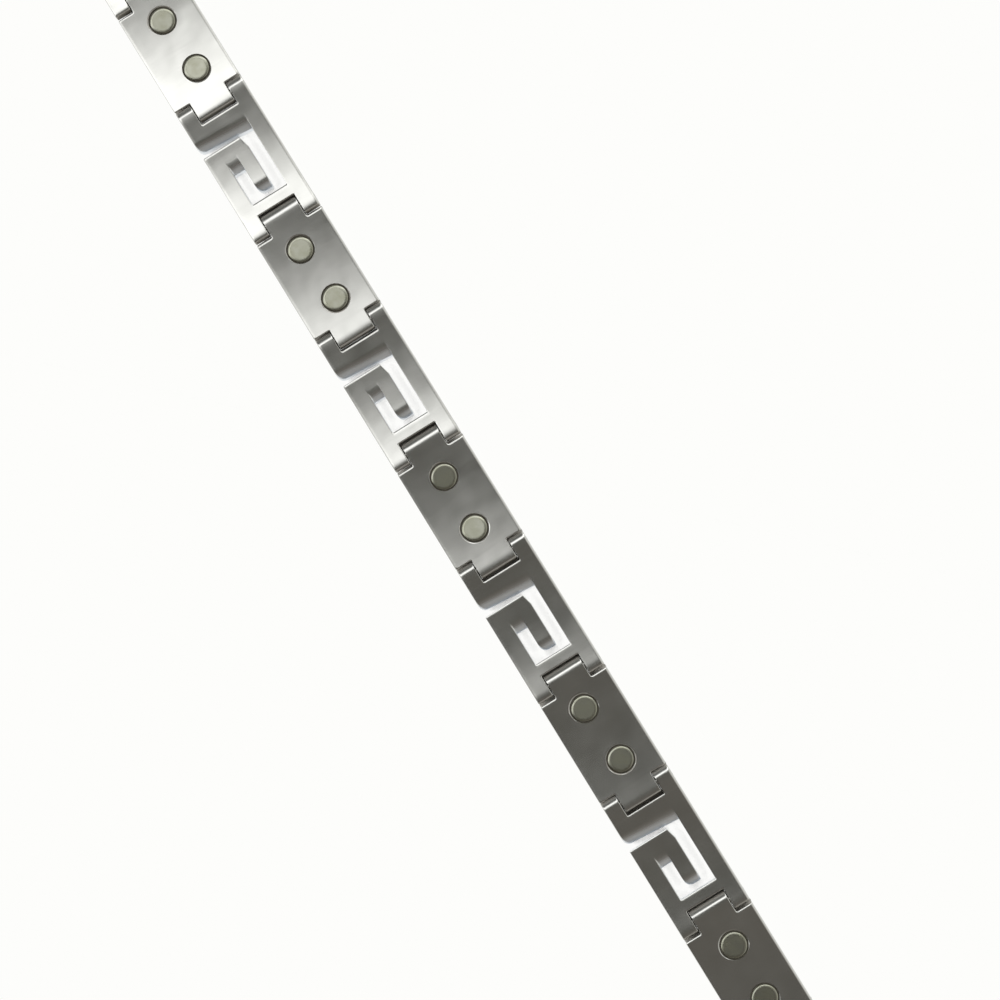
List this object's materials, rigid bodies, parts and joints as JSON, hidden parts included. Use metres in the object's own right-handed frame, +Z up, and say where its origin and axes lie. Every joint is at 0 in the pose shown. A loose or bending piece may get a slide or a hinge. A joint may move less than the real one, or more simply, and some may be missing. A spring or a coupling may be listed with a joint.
{
  "type": "magnetic bracelet",
  "caption": "Stainless steel link bracelet, open and laid straight: solid links with round magnets on the wrist side alternate with pierced Greek key links, on pinned hinges, with a hook clasp.",
  "frame": {"origin": "centre of the bracelet's box, on the surface that its front faces lie on", "axes": "+X along the strip, away from the clasp; +Y across it; +Z up, the side that faces the wrist when worn"},
  "size_m": [0.2212, 0.0104, 0.0028],
  "materials": {
    "solid_links": "satin polished stainless steel",
    "key_links": "satin polished stainless steel",
    "clasp": "satin polished stainless steel",
    "pins": "drawn stainless steel wire",
    "magnet": "satin nickel plating"
  },
  "bodies": {
    "root": {"clasp": "clasp", "clasp_pin": "pins", "catch_bar": "pins", "key_link_1": "key_links", "key_link_2": "key_links", "key_link_3": "key_links", "key_link_4": "key_links", "key_link_5": "key_links", "key_link_6": "key_links", "solid_link_1": "solid_links", "solid_link_2": "solid_links", "solid_link_3": "solid_links", "solid_link_4": "solid_links", "solid_link_5": "solid_links", "hinge_pin_1": "pins", "hinge_pin_2": "pins", "hinge_pin_3": "pins", "hinge_pin_4": "pins", "hinge_pin_5": "pins", "hinge_pin_6": "pins", "hinge_pin_7": "pins", "hinge_pin_8": "pins", "hinge_pin_9": "pins", "hinge_pin_10": "pins", "magnet_1": "magnet", "magnet_2": "magnet", "magnet_3": "magnet", "magnet_4": "magnet", "magnet_5": "magnet", "magnet_6": "magnet", "magnet_7": "magnet", "magnet_8": "magnet", "magnet_9": "magnet", "magnet_10": "magnet"}
  },
  "joints": []
}
